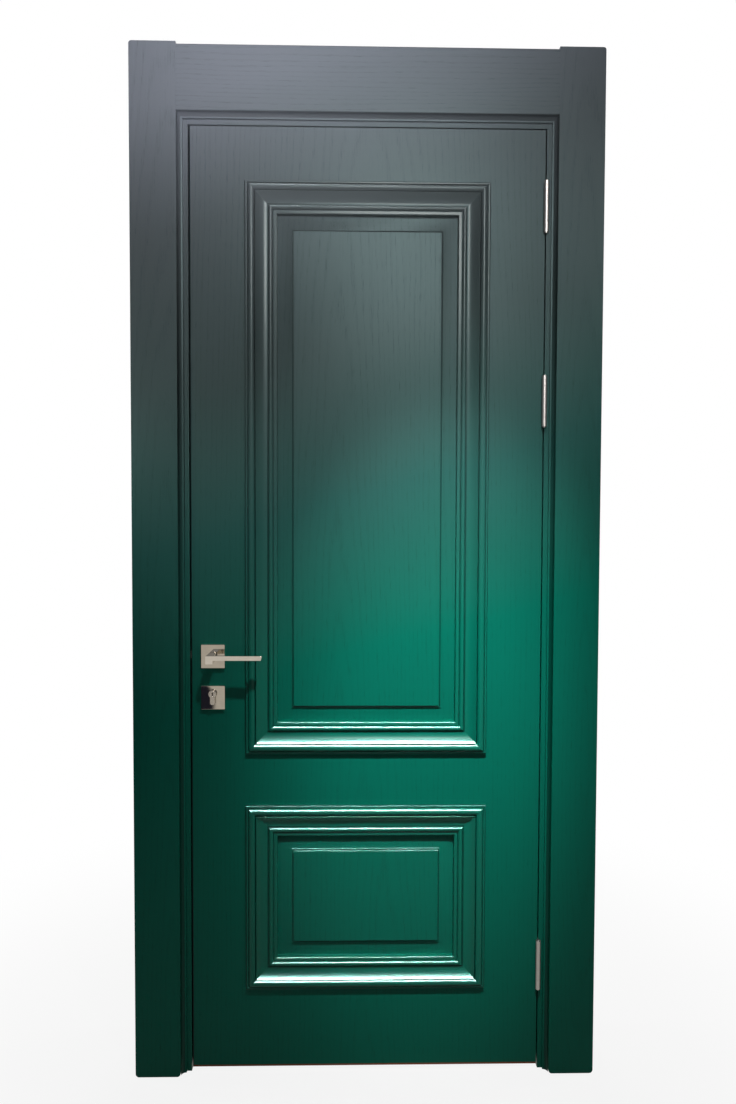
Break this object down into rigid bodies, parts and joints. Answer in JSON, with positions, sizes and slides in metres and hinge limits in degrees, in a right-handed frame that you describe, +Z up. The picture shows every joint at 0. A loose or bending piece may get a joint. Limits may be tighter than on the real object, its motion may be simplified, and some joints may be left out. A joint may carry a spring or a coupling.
{
  "type": "interior door",
  "caption": "Painted panelled interior door in a lined frame with coved casings, raised panels in mitred mouldings, butt hinges, a lever handle and a cylinder lock.",
  "frame": {"origin": "on the floor, in the middle of the set's width and depth, lever included", "axes": "+Z up, +X towards the hinges, -Y towards the face that opens"},
  "size_m": [1.056, 0.244, 2.333],
  "materials": {
    "painted_frame": "semi-gloss open-pore paint, slate above to green below",
    "painted_leaf": "semi-gloss open-pore paint, slate above to green below",
    "leaf_core": "timber core with painted edges",
    "seal_rubber": "matt",
    "satin_nickel": "satin nickel plate",
    "plain_steel": "satin steel"
  },
  "bodies": {
    "frame": {"lock_jamb": "painted_frame", "hinge_jamb": "painted_frame", "head_jamb": "painted_frame", "lock_stop": "painted_frame", "hinge_stop": "painted_frame", "head_stop": "painted_frame", "seal_strip": "seal_rubber", "lock_casing_front": "painted_frame", "hinge_casing_front": "painted_frame", "head_casing_front": "painted_frame", "lock_casing_rear": "painted_frame", "hinge_casing_rear": "painted_frame", "head_casing_rear": "painted_frame", "strike_plate": "satin_nickel", "strike_screws": "satin_nickel", "top_hinge_frame_leaf": "plain_steel", "middle_hinge_frame_leaf": "plain_steel", "bottom_hinge_frame_leaf": "plain_steel", "hinge_pins": "plain_steel", "frame_hinge_screws": "plain_steel"},
    "leaf": {"lock_stile": "leaf_core", "hinge_stile": "leaf_core", "top_rail": "leaf_core", "lock_rail": "leaf_core", "bottom_rail": "leaf_core", "front_face_sheet": "painted_leaf", "rear_face_sheet": "painted_leaf", "upper_panel": "painted_leaf", "lower_panel": "painted_leaf", "upper_moulding_top": "painted_leaf", "upper_moulding_bottom": "painted_leaf", "upper_moulding_left": "painted_leaf", "upper_moulding_right": "painted_leaf", "lower_moulding_top": "painted_leaf", "lower_moulding_bottom": "painted_leaf", "lower_moulding_left": "painted_leaf", "lower_moulding_right": "painted_leaf", "upper_mouldings_rear": "painted_leaf", "lower_mouldings_rear": "painted_leaf", "lock_case": "plain_steel", "lock_forend": "satin_nickel", "forend_screws": "satin_nickel", "front_rose": "satin_nickel", "rear_rose": "satin_nickel", "front_escutcheon": "satin_nickel", "rear_escutcheon": "satin_nickel", "cylinder_body": "satin_nickel", "top_hinge_door_leaf": "plain_steel", "middle_hinge_door_leaf": "plain_steel", "bottom_hinge_door_leaf": "plain_steel", "door_hinge_screws": "plain_steel"},
    "handle": {"front_lever": "satin_nickel", "rear_lever": "satin_nickel", "spindle": "plain_steel", "follower": "plain_steel"},
    "latch": {"latch_bolt": "plain_steel"},
    "dead_bolt": {"deadbolt": "plain_steel"},
    "key_turn": {"cylinder_plug": "satin_nickel", "cylinder_cam": "plain_steel", "thumb_turn": "satin_nickel"}
  },
  "joints": [
    {"name": "leaf_swing", "type": "hinge", "parent": "frame", "child": "leaf", "pos_m": [0.4015, -0.067, 0], "axis": [0, 0, 1], "range_deg": [0, 130]},
    {"name": "lever_turn", "type": "hinge", "parent": "leaf", "child": "handle", "pos_m": [-0.35, -0.0375, 0.971], "axis": [0, 1, 0], "range_deg": [0, 35], "stiffness_Nm_per_rad": 1.2, "springref_deg": -34.38},
    {"name": "latch_slide", "type": "slide", "parent": "leaf", "child": "latch", "axis": [1, 0, 0], "range_m": [0, 0.012]},
    {"name": "cylinder_turn", "type": "hinge", "parent": "leaf", "child": "key_turn", "pos_m": [-0.35, -0.0375, 0.886], "axis": [0, 1, 0], "range_deg": [0, 360]},
    {"name": "bolt_slide", "type": "slide", "parent": "leaf", "child": "dead_bolt", "axis": [-1, 0, 0], "range_m": [0, 0.014]}
  ],
  "couplings": [
    {"joint": "latch_slide", "follows": "lever_turn", "m_per_rad": 0.01964},
    {"joint": "bolt_slide", "follows": "cylinder_turn", "m_per_rad": 0.002228}
  ]
}
